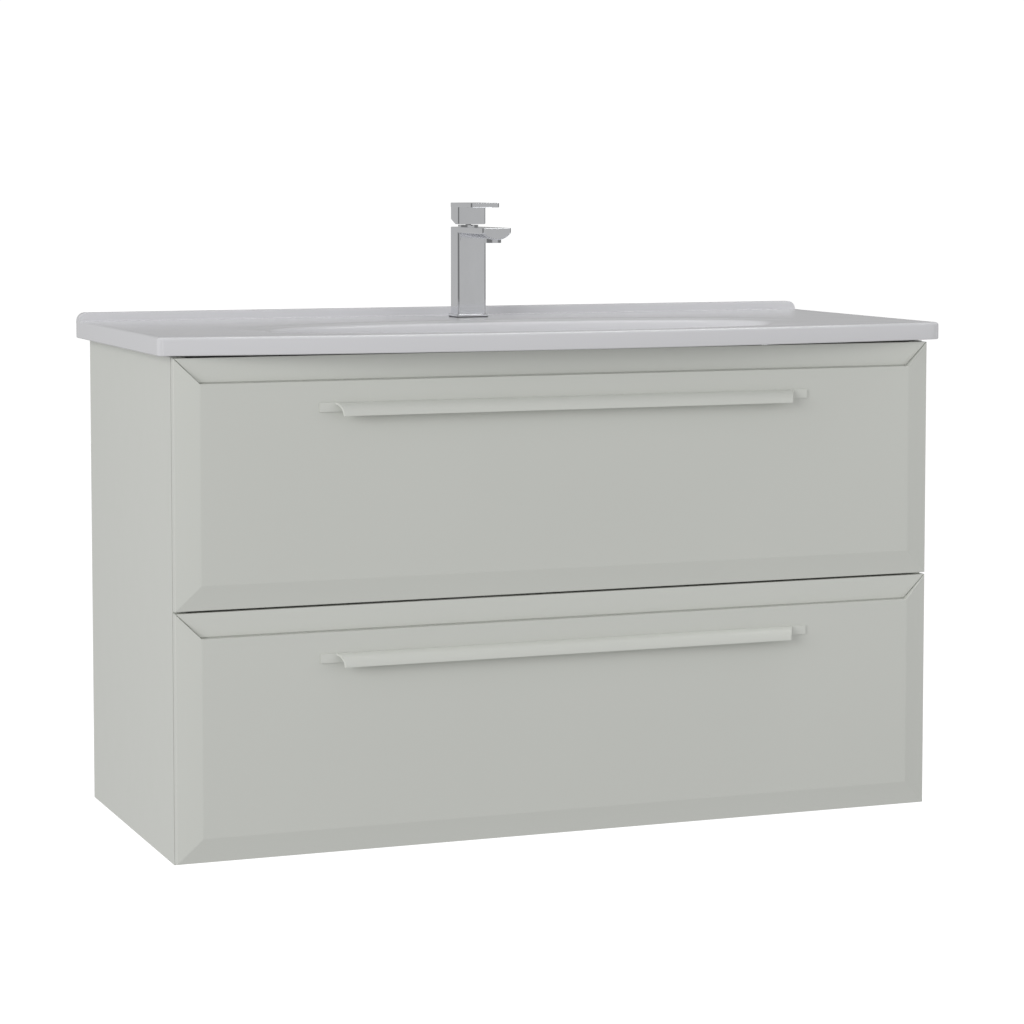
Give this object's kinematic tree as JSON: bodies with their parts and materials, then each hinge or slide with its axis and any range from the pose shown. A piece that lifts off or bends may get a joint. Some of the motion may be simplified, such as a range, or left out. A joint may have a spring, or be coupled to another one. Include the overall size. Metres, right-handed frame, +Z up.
{
  "type": "bathroom vanity cabinet",
  "caption": "Wall-hung vanity cabinet with two grey framed drawers on runners, a bow-fronted ceramic basin, a square single-lever mixer tap and a bottle trap.",
  "frame": {"origin": "on the wall plane, in the middle of the four screw holes of the two wall plates", "axes": "+X to the right along the width as seen from the front, +Y into the wall, +Z up; the fronts face -Y"},
  "size_m": [1.026, 0.504, 0.7755],
  "materials": {
    "lacquered_board": "satin grey lacquer on board",
    "lacquered_metal": "satin grey lacquer",
    "white_board": "white melamine board",
    "ceramic": "glossy white glaze",
    "chrome": "polished chrome",
    "white_rubber": "white sanitary silicone",
    "black_rubber": "matt black rubber",
    "white_plastic": "white polypropylene",
    "zinc_steel": "bright zinc plating"
  },
  "bodies": {
    "cabinet": {"side_left": "lacquered_board", "side_right": "lacquered_board", "bottom_panel": "lacquered_board", "rear_rail": "white_board", "lower_rail": "white_board", "back_panel": "white_board", "cam_fittings": "zinc_steel", "wall_plates": "zinc_steel", "hanger_left": "zinc_steel", "hanger_right": "zinc_steel", "panel_screws": "zinc_steel", "runner_rails": "zinc_steel", "basin": "ceramic", "basin_seal": "white_rubber", "overflow_ring": "chrome", "drain_body": "chrome", "drain_gasket": "black_rubber", "drain_nut": "zinc_steel", "trap_inlet": "white_plastic", "trap_bottle": "white_plastic", "trap_cup": "white_plastic", "trap_outlet": "white_plastic", "trap_nuts": "white_plastic", "wall_rosette": "chrome", "tap_body": "chrome", "tap_base": "chrome", "tap_cartridge": "white_plastic", "cartridge_nut": "chrome", "tap_aerator": "chrome", "tap_stud": "zinc_steel", "tap_washer": "zinc_steel", "stud_nut": "zinc_steel"},
    "tap_turner": {"cartridge_collar": "zinc_steel", "pivot_pin": "zinc_steel"},
    "tap_lever": {"tap_handle": "chrome", "lever_stem": "zinc_steel", "handle_screw": "zinc_steel"},
    "drain_plug": {"drain_plug": "chrome"},
    "upper_slides": {"upper_runner_slides": "zinc_steel"},
    "lower_slides": {"lower_runner_slides": "zinc_steel"},
    "upper_drawer": {"upper_front": "lacquered_board", "upper_handle": "lacquered_metal", "upper_handle_screws": "zinc_steel", "upper_side_left": "white_board", "upper_side_right": "white_board", "upper_bottom": "white_board", "upper_back_left": "white_board", "upper_back_right": "white_board", "recess_left": "white_board", "recess_right": "white_board", "recess_front": "white_board", "upper_runner_members": "zinc_steel"},
    "lower_drawer": {"lower_front": "lacquered_board", "lower_handle": "lacquered_metal", "lower_handle_screws": "zinc_steel", "lower_side_left": "white_board", "lower_side_right": "white_board", "lower_bottom": "white_board", "lower_back": "white_board", "lower_runner_members": "zinc_steel"}
  },
  "joints": [
    {"name": "upper_drawer_slide", "type": "slide", "parent": "cabinet", "child": "upper_drawer", "axis": [0, -1, 0], "range_m": [0, 0.34]},
    {"name": "upper_runner_slide", "type": "slide", "parent": "cabinet", "child": "upper_slides", "axis": [0, -1, 0], "range_m": [0, 0.17]},
    {"name": "lower_drawer_slide", "type": "slide", "parent": "cabinet", "child": "lower_drawer", "axis": [0, -1, 0], "range_m": [0, 0.34]},
    {"name": "lower_runner_slide", "type": "slide", "parent": "cabinet", "child": "lower_slides", "axis": [0, -1, 0], "range_m": [0, 0.17]},
    {"name": "lever_turn", "type": "hinge", "parent": "cabinet", "child": "tap_turner", "pos_m": [0, -0.073, 0.2035], "axis": [0, 0, 1], "range_deg": [-45, 45]},
    {"name": "lever_lift", "type": "hinge", "parent": "tap_turner", "child": "tap_lever", "pos_m": [0, -0.073, 0.2035], "axis": [-1, 0, 0], "range_deg": [0, 20]},
    {"name": "plug_lift", "type": "slide", "parent": "cabinet", "child": "drain_plug", "axis": [0, 0, 1], "range_m": [0, 0.007]}
  ],
  "couplings": [
    {"joint": "upper_runner_slide", "follows": "upper_drawer_slide", "ratio": 0.5},
    {"joint": "lower_runner_slide", "follows": "lower_drawer_slide", "ratio": 0.5}
  ]
}
